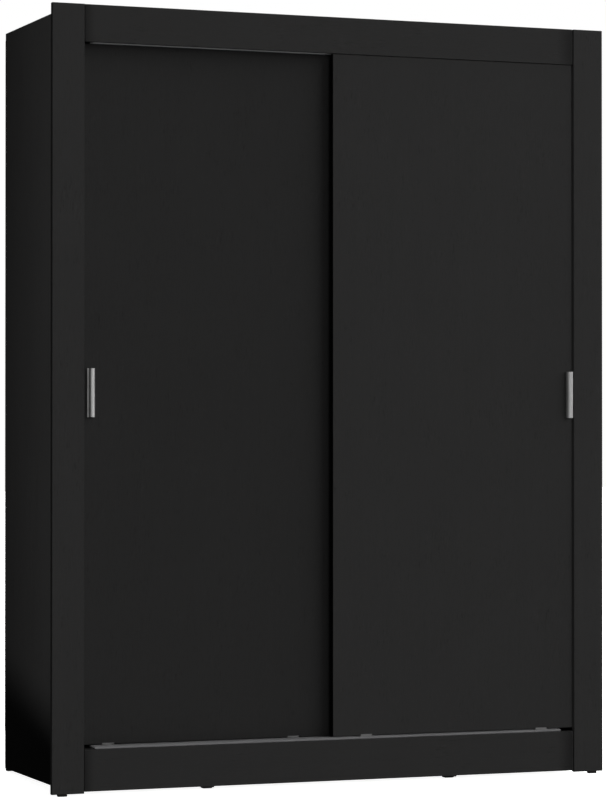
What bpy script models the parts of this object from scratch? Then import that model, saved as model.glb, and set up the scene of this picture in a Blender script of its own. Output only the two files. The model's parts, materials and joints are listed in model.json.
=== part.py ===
"""Two-door sliding wardrobe: a board carcass with front posts, two doors on a double track, and its fittings.

Metres, +Z up. The front faces -Y, X runs across the width, and the origin is under the centre of the
footprint, on the floor. "Depth" in a name counts backwards from the front face of the posts.
"""

from math import acos, cos, pi, sin

import bmesh
import bpy
from mathutils import Vector

# ---------------------------------------------------------------- driving dimensions
WIDTH = 1.600  # over the front posts
DEPTH = 0.670  # posts' front face to the back's cover strip
HEIGHT = 2.076  # floor to the top of the posts
BOARD = 0.015  # carcass and door board
FACING = 0.012  # fascia and plinth board
HARDBOARD = 0.003
GAP = 0.0003  # between pieces that touch
EDGE = 0.0006  # rounding on board edges
SHEET_EDGE = 0.0003  # rounding on hardboard edges
WELD = 0.00001

POST_WIDTH = 0.088
POST_OVERHANG = 0.060  # the post reaches this far past the side panel
FACING_SETBACK = 0.004
FACING_END_GAP = 0.0025  # shadow gap between the facings and the posts
FASCIA_HEIGHT = 0.0985
PLINTH_BOTTOM = 0.0103
FLOOR_TOP = 0.1195  # upper face of the bottom panel, level with the plinth
TOP_RIM = 0.020  # the sides and fascia stand this far above the top panel

BEARER_OFFSET = 0.353  # base bearers, either side of the centre
REAR_PLINTH_DEPTH = 0.640
GLIDE_HEIGHT = 0.0057
GLIDES = {  # offset from the centre, range in depth, width
    "post_glide": (0.770, (0.0010, 0.0140), 0.025),
    "side_glide": (0.7325, (0.640, 0.664), 0.013),
    "bearer_front_glide": (BEARER_OFFSET, (0.046, 0.070), 0.026),
    "bearer_rear_glide": (BEARER_OFFSET, (0.600, 0.624), 0.026),
}

DOOR_WIDTH = 0.727
DOOR_BOTTOM = 0.1285
DOOR_TOP = 1.978
DOOR_END_CLEARANCE = 0.0025
LANE_DEPTH = {"right": 0.025, "left": 0.055}  # door centre planes: right in front, left behind
ROLLER_INSETS = {  # roller centres from the door's side edges
    "left": {"outer": 0.092, "inner": 0.111},
    "right": {"outer": 0.103, "inner": 0.099},
}

TRACK_LENGTH = 1.356
TRACK_FRONT = 0.0168
TRACK_REAR = 0.0634
TRACK_WALL = 0.0015
RAIL_HALF_WIDTH = 0.0012
RAIL_HEIGHT = 0.0050  # running rib above the bottom track's base
FRONT_LIP_DROP = 0.0015  # the front lip stands this far below the ribs
TOP_TRACK_BOTTOM = 1.9793
TOP_TRACK_HEIGHT = 0.018
TOP_SLOT = 0.009

WHEEL_RADIUS = 0.013
WHEEL_TREAD = 0.011  # radius at the bottom of the groove
WHEEL_WIDTH = 0.0056
WHEEL_RIM = 0.0005  # chamfer on the wheel's edges
GROOVE_CLEARANCE = 0.0004  # from the rail's flank to the groove's
AXLE_RADIUS = 0.002
AXLE_CHAMFER = 0.0003
HOUSING = (0.034, 0.0094, 0.032)
HOUSING_WALL = 0.0012
HOUSING_DROP = 0.005  # the housing's cheeks show this far below the door
NOTCH = (0.035, 0.0035)  # width and height of the door's cut-out over each housing
CUT_OVERRUN = 0.005  # cutters pass the faces that they open by this much
GUIDE = (0.030, 0.008, 0.031)
GUIDE_SEAT = 0.020  # depth of a guide in the door's top edge

PULL_LENGTH = 0.129
PULL_CENTRE = 1.056
PULL_WIDTH = 0.0208
PULL_PROJECTION = 0.014
PULL_FLANGE = 0.005  # back plate showing beside the shell's mouth
PULL_SHEET = 0.0015
PULL_END = 0.003  # thickness of the shell's closed ends
PULL_LIP_RADIUS = 0.007  # the shell's crest rolls over towards its mouth
PULL_LIP_TURN = 0.66  # radians from the crest to the mouth's edge
PULL_INSET = {"left": 0.0321, "right": 0.0065}  # pull's flange from the door's outer edge

DIVIDER_FRONT = 0.066
SHELF_FRONT = 0.070
LEFT_SHELVES = {"left_hat_shelf": 1.740, "left_shoe_shelf": 0.420}
RIGHT_SHELVES = {
    "right_hat_shelf": 1.740,
    "right_upper_shelf": 1.340,
    "right_middle_shelf": 0.940,
    "right_lower_shelf": 0.540,
}
RAIL_CENTRE = 1.660
RAIL_RADIUS = 0.0125
SOCKET_RADIUS = 0.022
SOCKET_COLLAR = 0.0158
SOCKET_FLANGE = 0.003
SOCKET_LENGTH = 0.014

BACK_JOINT = 0.0030  # between the two back panels
STRIP_THICKNESS = 0.0012
STRIP_WIDTH = 0.020
BRACKET_OFFSET = 0.360  # wall brackets, either side of the centre
BRACKET_WIDTH = 0.040
BRACKET_LEG = 0.042
BRACKET_THICKNESS = 0.002
BUMPER_DEPTH = (0.0185, 0.0615)  # one bumper spans both lanes
BUMPER_HEIGHT = (1.000, 1.030)

SIDES = {"left": -1, "right": 1}

# ---------------------------------------------------------------- dimensions that follow
SIDE_OUTER = WIDTH / 2 - POST_OVERHANG
SIDE_INNER = SIDE_OUTER - BOARD
POST_INNER = WIDTH / 2 - POST_WIDTH
FACING_REAR = FACING_SETBACK + FACING
CARCASS_FRONT = FACING_REAR + GAP
BACK_FRONT = DEPTH - STRIP_THICKNESS - GAP - HARDBOARD
CARCASS_REAR = BACK_FRONT - GAP
CARCASS_BOTTOM = GLIDE_HEIGHT + GAP
TOP_PANEL_TOP = HEIGHT - TOP_RIM
TOP_PANEL_UNDERSIDE = TOP_PANEL_TOP - BOARD
TOP_TRACK_TOP = TOP_TRACK_BOTTOM + TOP_TRACK_HEIGHT
TRACK_BASE_TOP = FLOOR_TOP + GAP + TRACK_WALL
RAIL_TOP = TRACK_BASE_TOP + RAIL_HEIGHT
AXLE_HEIGHT = RAIL_TOP + GAP + WHEEL_TREAD
HOUSING_BOTTOM = DOOR_BOTTOM - HOUSING_DROP
DOOR_CENTRE = SIDE_INNER - DOOR_END_CLEARANCE - DOOR_WIDTH / 2

PARTS = "sliding_wardrobe"
CUTTERS = "cutters"


def clear_scene():
    for obj in list(bpy.data.objects):
        bpy.data.objects.remove(obj)


def collection(name, hidden=False):
    made = bpy.data.collections.new(name)
    bpy.context.scene.collection.children.link(made)
    made.hide_render = hidden
    return made


def material(name, colour, roughness, metallic=0.0):
    made = bpy.data.materials.new(name)
    made.use_nodes = True
    shader = made.node_tree.nodes["Principled BSDF"]
    shader.inputs["Base Color"].default_value = (*colour, 1.0)
    shader.inputs["Roughness"].default_value = roughness
    shader.inputs["Metallic"].default_value = metallic
    return made


def make_materials():
    return {
        "board": material("black_board", (0.022, 0.021, 0.020), 0.55),
        "hardboard": material("back_hardboard", (0.030, 0.028, 0.026), 0.70),
        "aluminium": material("track_aluminium", (0.60, 0.60, 0.61), 0.35, 1.0),
        "pull": material("pull_metal", (0.68, 0.68, 0.67), 0.28, 1.0),
        "steel": material("plated_steel", (0.55, 0.55, 0.56), 0.32, 1.0),
        "chrome": material("rail_chrome", (0.75, 0.75, 0.76), 0.12, 1.0),
        "nylon": material("roller_nylon", (0.55, 0.55, 0.53), 0.45),
        "glide": material("glide_plastic", (0.015, 0.015, 0.015), 0.50),
        "rubber": material("bumper_rubber", (0.02, 0.02, 0.02), 0.85),
    }


def y_at(depth):
    """World Y of a plane this far behind the posts' front face."""
    return depth - DEPTH / 2


def add(name, data, finish, location=(0, 0, 0), rotation=(0, 0, 0), parent=None, home=PARTS):
    """Links a new object. With a parent, the location still counts in world space at rest."""
    obj = bpy.data.objects.new(name, data)
    bpy.data.collections[home].objects.link(obj)
    if data is not None and finish is not None:
        data.materials.append(finish)
    obj.rotation_euler = rotation
    obj.parent = parent
    obj.location = Vector(location) - (parent.location if parent else Vector())
    return obj


def bevel(obj, width, segments=1):
    modifier = obj.modifiers.new("edges", "BEVEL")
    modifier.width = width
    modifier.segments = segments
    modifier.limit_method = "ANGLE"
    return modifier


def block_mesh(name, size):
    """A box of this size about its own centre."""
    mesh = bpy.data.meshes.new(name)
    shape = bmesh.new()
    bmesh.ops.create_cube(shape, size=1.0)
    bmesh.ops.scale(shape, vec=size, verts=shape.verts)
    shape.to_mesh(mesh)
    shape.free()
    return mesh


def board(name, across, deep, high, finish, edge=EDGE, parent=None):
    """A rectangular piece from its ranges in X, in depth and in Z."""
    size = (across[1] - across[0], deep[1] - deep[0], high[1] - high[0])
    centre = (sum(across) / 2, y_at(sum(deep) / 2), sum(high) / 2)
    obj = add(name, block_mesh(name, size), finish, centre, parent=parent)
    bevel(obj, edge)
    return obj


def outline_curve(name, outline, length):
    """A flat outline, extruded along its own Z about its middle."""
    curve = bpy.data.curves.new(name, "CURVE")
    curve.dimensions = "2D"
    curve.fill_mode = "BOTH"
    curve.extrude = length / 2
    spline = curve.splines.new("POLY")
    spline.points.add(len(outline) - 1)
    for point, (u, v) in zip(spline.points, outline):
        point.co = (u, v, 0, 1)
    spline.use_cyclic_u = True
    return curve


def extrusion(name, outline, length, finish, location, rotation=(0, 0, 0), parent=None):
    return add(name, outline_curve(name, outline, length), finish, location, rotation, parent)


def extruded_mesh(name, outline, length):
    """The same extrusion as a mesh with its caps welded on, so that it can be cut or cut with."""
    guide = add(f"{name}_outline", outline_curve(name, outline, length), None)
    bpy.context.view_layer.update()
    graph = bpy.context.evaluated_depsgraph_get()
    mesh = bpy.data.meshes.new_from_object(guide.evaluated_get(graph))
    bpy.data.objects.remove(guide)
    shape = bmesh.new()
    shape.from_mesh(mesh)
    bmesh.ops.remove_doubles(shape, verts=shape.verts, dist=WELD)
    shape.to_mesh(mesh)
    shape.free()
    return mesh


def turned(name, profile, finish, location, rotation, closed, steps=24, parent=None):
    """A profile of (radius, height) points turned about its own Z."""
    mesh = bpy.data.meshes.new(name)
    edges = [(i, i + 1) for i in range(len(profile) - 1)]
    if closed:
        edges.append((len(profile) - 1, 0))
    mesh.from_pydata([(radius, 0, height) for radius, height in profile], edges, [])
    obj = add(name, mesh, finish, location, rotation, parent)
    screw = obj.modifiers.new("turn", "SCREW")
    screw.steps = steps
    screw.render_steps = steps
    screw.use_merge_vertices = True
    screw.merge_threshold = WELD
    screw.use_smooth_shade = True
    return obj


def cutter_block(name, size, location, parent=None):
    obj = add(name, block_mesh(name, size), None, location, parent=parent, home=CUTTERS)
    return as_cutter(obj)


def cutter_rod(name, radius, length, location, parent=None):
    """A cylinder along Y."""
    mesh = bpy.data.meshes.new(name)
    shape = bmesh.new()
    bmesh.ops.create_cone(shape, cap_ends=True, segments=24, radius1=radius, radius2=radius, depth=length)
    shape.to_mesh(mesh)
    shape.free()
    return as_cutter(add(name, mesh, None, location, (pi / 2, 0, 0), parent, CUTTERS))


def as_cutter(obj):
    obj.hide_render = True
    obj.display_type = "WIRE"
    return obj


def cut(obj, cutter):
    modifier = obj.modifiers.new(cutter.name, "BOOLEAN")
    modifier.operation = "DIFFERENCE"
    modifier.object = cutter


# ---------------------------------------------------------------- carcass
ALONG_X = (pi / 2, 0, pi / 2)  # outline (u, v) becomes (Y, Z), extruded along X


def between_sides(name, deep, high, finish):
    """A board from one side panel to the other."""
    half = SIDE_INNER - GAP
    return board(name, (-half, half), deep, high, finish)


def mirrored(side, low, high):
    """The X range from low to high on the right, or its mirror image on the left."""
    return (low, high) if side == "right" else (-high, -low)


def make_shell(finish):
    for side in SIDES:
        board(
            f"{side}_side_panel",
            mirrored(side, SIDE_INNER, SIDE_OUTER),
            (BOARD + GAP, CARCASS_REAR),
            (CARCASS_BOTTOM, HEIGHT),
            finish,
        )
        board(
            f"{side}_front_post",
            mirrored(side, POST_INNER, WIDTH / 2),
            (0, BOARD),
            (CARCASS_BOTTOM, HEIGHT),
            finish,
        )
    between_sides("top_panel", (CARCASS_FRONT, CARCASS_REAR), (TOP_PANEL_UNDERSIDE, TOP_PANEL_TOP), finish)
    between_sides("bottom_panel", (CARCASS_FRONT, CARCASS_REAR), (FLOOR_TOP - BOARD, FLOOR_TOP), finish)
    carrier = TOP_TRACK_TOP + GAP
    between_sides("track_carrier", (CARCASS_FRONT, TRACK_REAR + GAP), (carrier, carrier + BOARD), finish)


def make_facings(finish):
    half = POST_INNER - FACING_END_GAP
    deep = (FACING_SETBACK, FACING_REAR)
    board("top_fascia", (-half, half), deep, (HEIGHT - FASCIA_HEIGHT, HEIGHT), finish)
    board("front_plinth", (-half, half), deep, (PLINTH_BOTTOM, FLOOR_TOP), finish)


def make_base(finish):
    under_floor = FLOOR_TOP - BOARD - GAP
    between_sides(
        "rear_plinth",
        (REAR_PLINTH_DEPTH, REAR_PLINTH_DEPTH + BOARD),
        (PLINTH_BOTTOM, under_floor),
        finish,
    )
    for side in SIDES:
        board(
            f"{side}_base_bearer",
            mirrored(side, BEARER_OFFSET - BOARD / 2, BEARER_OFFSET + BOARD / 2),
            (CARCASS_FRONT, REAR_PLINTH_DEPTH - GAP),
            (CARCASS_BOTTOM, under_floor),
            finish,
        )


def make_interior(finish):
    half = BOARD / 2
    board(
        "centre_divider",
        (-half, half),
        (DIVIDER_FRONT, CARCASS_REAR),
        (FLOOR_TOP + GAP, TOP_PANEL_UNDERSIDE - GAP),
        finish,
    )
    for side, shelves in (("left", LEFT_SHELVES), ("right", RIGHT_SHELVES)):
        across = mirrored(side, half + GAP, SIDE_INNER - GAP)
        for name, top in shelves.items():
            board(name, across, (SHELF_FRONT, CARCASS_REAR), (top - BOARD, top), finish)


def make_back(finish, strip_finish):
    """Two hardboard sheets, with a T-shaped plastic strip over the joint between them."""
    high = (FLOOR_TOP - BOARD / 2, TOP_PANEL_TOP - GAP)
    half_joint = BACK_JOINT / 2
    for side in SIDES:
        across = mirrored(side, half_joint, SIDE_OUTER - GAP)
        deep = (BACK_FRONT, BACK_FRONT + HARDBOARD)
        board(f"{side}_back_panel", across, deep, high, finish, edge=SHEET_EDGE)
    web = half_joint - GAP
    cover = STRIP_WIDTH / 2
    cover_front = DEPTH - STRIP_THICKNESS
    outline = [
        (-cover, cover_front),
        (-web, cover_front),
        (-web, BACK_FRONT + GAP),
        (web, BACK_FRONT + GAP),
        (web, cover_front),
        (cover, cover_front),
        (cover, DEPTH),
        (-cover, DEPTH),
    ]
    extrusion("back_cover_strip", outline, high[1] - high[0], strip_finish, (0, y_at(0), sum(high) / 2))


def make_glides(finish):
    """Plastic glides under the posts, the bearers and the rear of the side panels."""
    for side in SIDES:
        for name, (offset, deep, width) in GLIDES.items():
            across = mirrored(side, offset - width / 2, offset + width / 2)
            board(f"{side}_{name}", across, deep, (0, GLIDE_HEIGHT), finish, edge=0.001)


def make_bumpers(finish):
    """Soft stops on the side panels' inner faces, across both door lanes."""
    for side in SIDES:
        board(
            f"{side}_door_bumper",
            mirrored(side, SIDE_INNER - DOOR_END_CLEARANCE + GAP, SIDE_INNER - GAP),
            BUMPER_DEPTH,
            BUMPER_HEIGHT,
            finish,
        )


def make_wall_brackets(finish):
    """Steel angles on the top panel, to screw the wardrobe to a wall."""
    thick = BRACKET_THICKNESS
    low = TOP_PANEL_TOP + GAP
    top = HEIGHT - thick
    front = DEPTH - BRACKET_LEG
    outline = [
        (front, low),
        (DEPTH, low),
        (DEPTH, top),
        (DEPTH - thick, top),
        (DEPTH - thick, low + thick),
        (front, low + thick),
    ]
    for side, sign in SIDES.items():
        place = (sign * BRACKET_OFFSET, y_at(0), 0)
        extrusion(f"{side}_wall_bracket", outline, BRACKET_WIDTH, finish, place, ALONG_X)


# ---------------------------------------------------------------- tracks
def make_bottom_track(finish):
    """A flat base with a lip along each edge, one between the lanes and a running rib in each lane."""
    base = FLOOR_TOP + GAP
    lip_top = RAIL_TOP - FRONT_LIP_DROP
    half_wall = TRACK_WALL / 2
    between = sum(LANE_DEPTH.values()) / 2
    ribs = [(lane, RAIL_HALF_WIDTH) for lane in LANE_DEPTH.values()] + [(between, half_wall)]
    outline = [(TRACK_FRONT, base), (TRACK_FRONT, lip_top), (TRACK_FRONT + TRACK_WALL, lip_top)]
    outline.append((TRACK_FRONT + TRACK_WALL, TRACK_BASE_TOP))
    for centre, half in sorted(ribs):
        outline += [
            (centre - half, TRACK_BASE_TOP),
            (centre - half, RAIL_TOP),
            (centre + half, RAIL_TOP),
            (centre + half, TRACK_BASE_TOP),
        ]
    outline += [
        (TRACK_REAR - TRACK_WALL, TRACK_BASE_TOP),
        (TRACK_REAR - TRACK_WALL, RAIL_TOP),
        (TRACK_REAR, RAIL_TOP),
        (TRACK_REAR, base),
    ]
    extrusion("bottom_track", outline, TRACK_LENGTH, finish, (0, y_at(0), 0), ALONG_X)


def make_top_track(finish):
    """Two channels side by side, each with a slot below for the doors' guides."""
    low = TOP_TRACK_BOTTOM
    top = TOP_TRACK_TOP
    between = sum(LANE_DEPTH.values()) / 2
    half_wall = TRACK_WALL / 2
    walls = {
        "right": (TRACK_FRONT + TRACK_WALL, between - half_wall),
        "left": (between + half_wall, TRACK_REAR - TRACK_WALL),
    }
    outline = [(TRACK_FRONT, top), (TRACK_FRONT, low)]
    for side, (front_wall, rear_wall) in walls.items():
        slot_front = LANE_DEPTH[side] - TOP_SLOT / 2
        slot_rear = LANE_DEPTH[side] + TOP_SLOT / 2
        outline += [
            (slot_front, low),
            (slot_front, low + TRACK_WALL),
            (front_wall, low + TRACK_WALL),
            (front_wall, top - TRACK_WALL),
            (rear_wall, top - TRACK_WALL),
            (rear_wall, low + TRACK_WALL),
            (slot_rear, low + TRACK_WALL),
            (slot_rear, low),
        ]
    outline += [(TRACK_REAR, low), (TRACK_REAR, top)]
    extrusion("top_track", outline, TRACK_LENGTH, finish, (0, y_at(0), 0), ALONG_X)


# ---------------------------------------------------------------- hanging rail
def make_hanging_rail(rail_finish, socket_finish):
    """A round rail across the left bay, in a cup on the side panel and a cup on the divider."""
    depth = (SHELF_FRONT + CARCASS_REAR) / 2
    wall_faces = {"outer": -SIDE_INNER + GAP, "inner": -BOARD / 2 - GAP}
    recess_floor = SOCKET_FLANGE + GAP
    bore = RAIL_RADIUS + GAP
    profile = [
        (0, recess_floor),
        (bore, recess_floor),
        (bore, SOCKET_LENGTH),
        (SOCKET_COLLAR, SOCKET_LENGTH),
        (SOCKET_COLLAR, SOCKET_FLANGE),
        (SOCKET_RADIUS, SOCKET_FLANGE),
        (SOCKET_RADIUS, 0),
        (0, 0),
    ]
    for end, tilt in (("outer", pi / 2), ("inner", -pi / 2)):
        place = (wall_faces[end], y_at(depth), RAIL_CENTRE)
        turned(f"rail_{end}_socket", profile, socket_finish, place, (0, tilt, 0), closed=False)
    start = wall_faces["outer"] + recess_floor + GAP
    stop = wall_faces["inner"] - recess_floor - GAP
    curve = bpy.data.curves.new("hanging_rail", "CURVE")
    curve.dimensions = "3D"
    curve.bevel_depth = RAIL_RADIUS
    curve.bevel_resolution = 4
    curve.use_fill_caps = True
    spline = curve.splines.new("POLY")
    spline.points.add(1)
    half = (stop - start) / 2
    spline.points[0].co = (-half, 0, 0, 1)
    spline.points[1].co = (half, 0, 0, 1)
    add("hanging_rail", curve, rail_finish, ((start + stop) / 2, y_at(depth), RAIL_CENTRE))


# ---------------------------------------------------------------- doors
def door_frame(side):
    """An empty at the door's centre: the door slides along its X."""
    centre = (SIDES[side] * DOOR_CENTRE, y_at(LANE_DEPTH[side]), (DOOR_BOTTOM + DOOR_TOP) / 2)
    return add(f"{side}_door", None, None, centre)


def make_panel(side, frame, finish):
    depth = LANE_DEPTH[side]
    across = (frame.location.x - DOOR_WIDTH / 2, frame.location.x + DOOR_WIDTH / 2)
    deep = (depth - BOARD / 2, depth + BOARD / 2)
    return board(f"{side}_door_panel", across, deep, (DOOR_BOTTOM, DOOR_TOP), finish, parent=frame)


def shell_arc(inset=0.0):
    """Points over a pull's shell, from its rolled lip to its foot, a given depth inside its outer face."""
    crest = PULL_FLANGE + PULL_LIP_RADIUS * sin(PULL_LIP_TURN)
    lip = PULL_LIP_RADIUS - inset
    rise = PULL_PROJECTION - inset
    half_width = PULL_WIDTH - crest - inset
    lip_steps = 4
    for step in range(lip_steps):
        turn = (step / lip_steps - 1) * PULL_LIP_TURN
        yield crest + lip * sin(turn), rise - lip * (1 - cos(turn))
    steps = 10
    for step in range(steps + 1):
        turn = step / steps * acos(inset / rise)
        yield crest + half_width * sin(turn), rise * cos(turn)


def pull_outline():
    """Section through a pull: a back plate, then a shell that curves back to the door.

    u runs from the back plate's outer edge towards the middle of the door, v towards the room.
    """
    return [(0, 0), (0, PULL_SHEET), (PULL_FLANGE, PULL_SHEET)] + list(shell_arc())


def pull_mouth_outline():
    """Section through the finger space in a pull, which opens towards the door's outer edge."""
    roof = list(shell_arc(PULL_SHEET))
    mouth = PULL_FLANGE - CUT_OVERRUN
    return [(mouth, PULL_SHEET), (mouth, roof[0][1])] + roof


def make_pull(side, frame, finish):
    sign = SIDES[side]
    outer_edge = frame.location.x + sign * DOOR_WIDTH / 2
    front = LANE_DEPTH[side] - BOARD / 2 - GAP
    place = (outer_edge - sign * PULL_INSET[side], y_at(front), PULL_CENTRE)
    solid = [(-sign * u, -v) for u, v in pull_outline()]
    space = [(-sign * u, -v) for u, v in pull_mouth_outline()]
    name = f"{side}_door_pull"
    pull = add(name, extruded_mesh(name, solid, PULL_LENGTH), finish, place, parent=frame)
    mouth_mesh = extruded_mesh(f"{name}_mouth", space, PULL_LENGTH - 2 * PULL_END)
    cut(pull, as_cutter(add(f"{name}_mouth", mouth_mesh, None, place, parent=frame, home=CUTTERS)))


def make_roller(prefix, x, depth, frame, door, finishes):
    """A U-shaped housing let into the door's bottom edge, with a grooved wheel on an axle."""
    length, width, height = HOUSING
    centre = Vector((x, y_at(depth), HOUSING_BOTTOM + height / 2))
    axle_place = (x, y_at(depth), AXLE_HEIGHT)
    seat_top = HOUSING_BOTTOM + height + GAP
    seat_low = DOOR_BOTTOM - CUT_OVERRUN
    seat = cutter_block(
        f"{prefix}_seat",
        (length + 2 * GAP, width + 2 * GAP, seat_top - seat_low),
        (x, y_at(depth), (seat_top + seat_low) / 2),
        parent=frame,
    )
    cut(door, seat)
    notch_width, notch_height = NOTCH
    notch = cutter_block(
        f"{prefix}_notch",
        (notch_width, BOARD + CUT_OVERRUN, notch_height + CUT_OVERRUN),
        (x, y_at(depth), DOOR_BOTTOM + (notch_height - CUT_OVERRUN) / 2),
        parent=frame,
    )
    cut(door, notch)
    block = block_mesh("housing", HOUSING)
    housing = add(f"{prefix}_housing", block, finishes["steel"], centre, parent=frame)
    inner = width - 2 * HOUSING_WALL
    slot = cutter_block(
        f"{prefix}_slot",
        (length + CUT_OVERRUN, inner, height),
        centre - Vector((0, 0, HOUSING_WALL)),
        parent=frame,
    )
    hole = cutter_rod(f"{prefix}_hole", AXLE_RADIUS + GAP, width + CUT_OVERRUN, axle_place, parent=frame)
    cut(housing, slot)
    cut(housing, hole)

    half = (width - HOUSING_WALL) / 2
    pin = [
        (0, half),
        (AXLE_RADIUS - AXLE_CHAMFER, half),
        (AXLE_RADIUS, half - AXLE_CHAMFER),
        (AXLE_RADIUS, AXLE_CHAMFER - half),
        (AXLE_RADIUS - AXLE_CHAMFER, -half),
        (0, -half),
    ]
    turned(f"{prefix}_axle", pin, finishes["steel"], axle_place, (pi / 2, 0, 0), closed=False, parent=frame)

    half = WHEEL_WIDTH / 2
    groove = RAIL_HALF_WIDTH + GROOVE_CLEARANCE
    wheel = [
        (WHEEL_RADIUS - WHEEL_RIM, half),
        (WHEEL_RADIUS, half - WHEEL_RIM),
        (WHEEL_RADIUS, groove + WHEEL_RIM),
        (WHEEL_TREAD, groove),
        (WHEEL_TREAD, -groove),
        (WHEEL_RADIUS, -groove - WHEEL_RIM),
        (WHEEL_RADIUS, WHEEL_RIM - half),
        (WHEEL_RADIUS - WHEEL_RIM, -half),
        (AXLE_RADIUS + GAP, -half),
        (AXLE_RADIUS + GAP, half),
    ]
    turned(f"{prefix}_wheel", wheel, finishes["nylon"], axle_place, (pi / 2, 0, 0), closed=True, parent=frame)


def make_guide(prefix, x, depth, frame, door, finish):
    """A plastic tongue let into the door's top edge, running in the top track's slot."""
    length, width, height = GUIDE
    low = DOOR_TOP - GUIDE_SEAT
    seat_top = DOOR_TOP + CUT_OVERRUN
    seat = cutter_block(
        f"{prefix}_guide_seat",
        (length + 2 * GAP, width + 2 * GAP, seat_top - low + GAP),
        (x, y_at(depth), (seat_top + low - GAP) / 2),
        parent=frame,
    )
    cut(door, seat)
    across = (x - length / 2, x + length / 2)
    deep = (depth - width / 2, depth + width / 2)
    board(f"{prefix}_guide", across, deep, (low, low + height), finish, edge=0.0008, parent=frame)


def make_door(side, finishes):
    frame = door_frame(side)
    door = make_panel(side, frame, finishes["board"])
    make_pull(side, frame, finishes["pull"])
    for end, way in (("outer", SIDES[side]), ("inner", -SIDES[side])):
        x = frame.location.x + way * (DOOR_WIDTH / 2 - ROLLER_INSETS[side][end])
        prefix = f"{side}_door_{end}"
        make_roller(prefix, x, LANE_DEPTH[side], frame, door, finishes)
        make_guide(prefix, x, LANE_DEPTH[side], frame, door, finishes["nylon"])


def main():
    clear_scene()
    collection(PARTS)
    collection(CUTTERS, hidden=True)
    finishes = make_materials()
    make_shell(finishes["board"])
    make_facings(finishes["board"])
    make_base(finishes["board"])
    make_interior(finishes["board"])
    make_back(finishes["hardboard"], finishes["glide"])
    make_glides(finishes["glide"])
    make_bumpers(finishes["rubber"])
    make_wall_brackets(finishes["steel"])
    make_bottom_track(finishes["aluminium"])
    make_top_track(finishes["aluminium"])
    make_hanging_rail(finishes["chrome"], finishes["glide"])
    for side in SIDES:
        make_door(side, finishes)


main()
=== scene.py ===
"""The looks of a two-door sliding wardrobe: edge-banded boards, metalwork, rollers and fittings.

Metres, +Z up. The front faces -Y, and the origin is on the floor under the centre of the footprint.
"""

import json
from math import acos, cos, pi, radians, sin

import bmesh
import bpy
from mathutils import Euler, Matrix, Vector


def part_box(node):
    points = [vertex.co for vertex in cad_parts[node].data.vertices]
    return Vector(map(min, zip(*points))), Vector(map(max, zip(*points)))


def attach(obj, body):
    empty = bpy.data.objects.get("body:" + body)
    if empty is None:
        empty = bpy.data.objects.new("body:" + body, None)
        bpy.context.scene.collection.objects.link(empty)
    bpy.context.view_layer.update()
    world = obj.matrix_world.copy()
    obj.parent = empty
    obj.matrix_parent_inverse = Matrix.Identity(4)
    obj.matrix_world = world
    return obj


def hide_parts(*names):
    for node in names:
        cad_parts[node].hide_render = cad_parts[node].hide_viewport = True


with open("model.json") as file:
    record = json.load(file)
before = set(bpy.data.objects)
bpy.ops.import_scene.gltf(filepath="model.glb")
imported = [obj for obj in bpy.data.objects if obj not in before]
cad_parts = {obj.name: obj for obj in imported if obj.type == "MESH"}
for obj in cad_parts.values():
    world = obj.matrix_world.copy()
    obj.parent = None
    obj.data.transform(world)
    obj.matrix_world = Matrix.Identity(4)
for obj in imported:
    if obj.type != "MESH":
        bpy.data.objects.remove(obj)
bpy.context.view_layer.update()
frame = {"nodes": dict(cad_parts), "record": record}

RECORD = frame["record"]
BODY_OF = {node: body for body, nodes in RECORD["behaviour"]["bodies"].items() for node in nodes}
SIDES = {"left": -1, "right": 1}

# ---------------------------------------------------------------- sizes and places
MM = 0.001

CAMERA_PLACE = (-3.0870, -8.0424, 0.9501)
CAMERA_YAW = 21.2056  # degrees to the right of straight ahead
CAMERA_PITCH = 0.6132  # degrees above level
CAMERA_LENS = 138.19  # millimetres, as the sensor is
SENSOR = 36.0

BAND = 0.8 * MM  # thickness of the edging tape
ROUNDING = 0.55 * MM  # of the tape's long edges
GLUE_LINE = 0.10 * MM  # depth and half width of the groove between tape and face
CORNER = 0.6 * MM

# Painted shade: a facing's colour darkens towards its left and its right end, beside the posts: over what
# length, and the tone left at the end.
PAINTED_END_SHADE = ((26 * MM, 0.30), (47 * MM, 0.27))

CUT_OVERRUN = 5 * MM  # how far a cutter reaches past the face that it opens
SEAT_CLEARANCE = 0.3 * MM  # round each roller housing and guide in its door
NOTCH_HEIGHT = 3.5 * MM  # the cut-out in a door's bottom edge over each roller housing
NOTCH_CLEARANCE = 0.5 * MM

PULL_SHEET = 1.5 * MM
PULL_FLANGE = 5.0 * MM
PULL_END = 3.0 * MM  # thickness of the shell's closed ends
PULL_ROUNDING = 1.1 * MM
PULL_LIP_RADIUS = 7.0 * MM
PULL_LIP_TURN = 0.66  # radians from the crest to the mouth's edge

TRACK_BASE = 1.5 * MM
TRACK_SCREW_ROWS = (17.0 * MM, 29.2 * MM)  # back from the track's front
TRACK_SCREW_END = 40 * MM  # from the track's ends
TRACK_SCREWS = 5  # in each row

# An upright row of nails: in from the back sheet's edge, in from its lower and upper edges, and how many.
OUTER_ROW = (6 * MM, 30 * MM, 16)
JOINT_ROW = (12 * MM, 90 * MM, 13)
LOWER_ROW = 6 * MM  # the level rows, in from the sheet's lower and upper edges
UPPER_ROW = 8 * MM
LEVEL_END = 60 * MM  # in from the sheet's other edges
LEVEL_NAILS = 7
NAIL_RADIUS = 2.4 * MM
NAIL_SINK = 0.05 * MM

PIN_INSET = 55 * MM  # from the shelf's front and rear edges
PIN_DROP = 3.8 * MM  # from the shelf's underside to the pin's axis
PIN_PROFILE = [
    (0.0, 0.0),
    (3.6 * MM, 0.0),
    (3.6 * MM, 0.9 * MM),
    (2.5 * MM, 1.2 * MM),
    (2.5 * MM, 8 * MM),
    (2.1 * MM, 8.6 * MM),
    (0.0, 8.6 * MM),
]

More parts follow.
